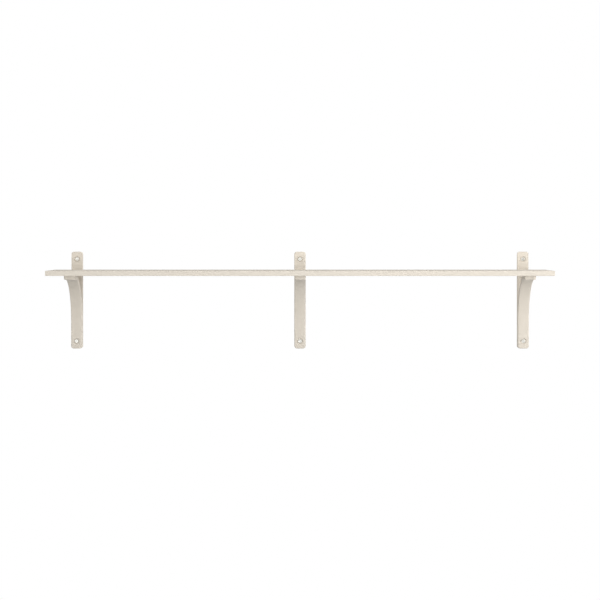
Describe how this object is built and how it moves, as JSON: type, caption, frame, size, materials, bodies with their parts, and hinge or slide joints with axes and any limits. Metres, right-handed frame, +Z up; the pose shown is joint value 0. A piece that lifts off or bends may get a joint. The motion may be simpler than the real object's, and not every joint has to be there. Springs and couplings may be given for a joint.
{
  "type": "wall shelf with brackets",
  "caption": "Long narrow painted wood wall shelf on three upright back plates with bent quarter-round arms, fastened with recessed screws.",
  "frame": {"origin": "on the wall plane, on the back face of the middle bracket's plate, level with the top of the board", "axes": "+Z up; +X along the board, to the right as a person facing the shelf sees it; +Y into the wall"},
  "size_m": [1.5, 0.252, 0.296],
  "materials": {
    "board": "matte opaque warm beige paint",
    "bracket": "matte opaque warm beige paint",
    "screw": "bright zinc plated"
  },
  "bodies": {
    "root": {"shelf_board": "board", "back_plate_left": "bracket", "back_plate_center": "bracket", "back_plate_right": "bracket", "bent_arm_left": "bracket", "bent_arm_center": "bracket", "bent_arm_right": "bracket", "wall_screw_upper_left": "screw", "wall_screw_lower_left": "screw", "wall_screw_upper_center": "screw", "wall_screw_lower_center": "screw", "wall_screw_upper_right": "screw", "wall_screw_lower_right": "screw", "arm_screw_upper_left": "screw", "arm_screw_lower_left": "screw", "arm_screw_upper_center": "screw", "arm_screw_lower_center": "screw", "arm_screw_upper_right": "screw", "arm_screw_lower_right": "screw", "board_screw_a_left": "screw", "board_screw_b_left": "screw", "board_screw_a_center": "screw", "board_screw_b_center": "screw", "board_screw_a_right": "screw", "board_screw_b_right": "screw"}
  },
  "joints": []
}
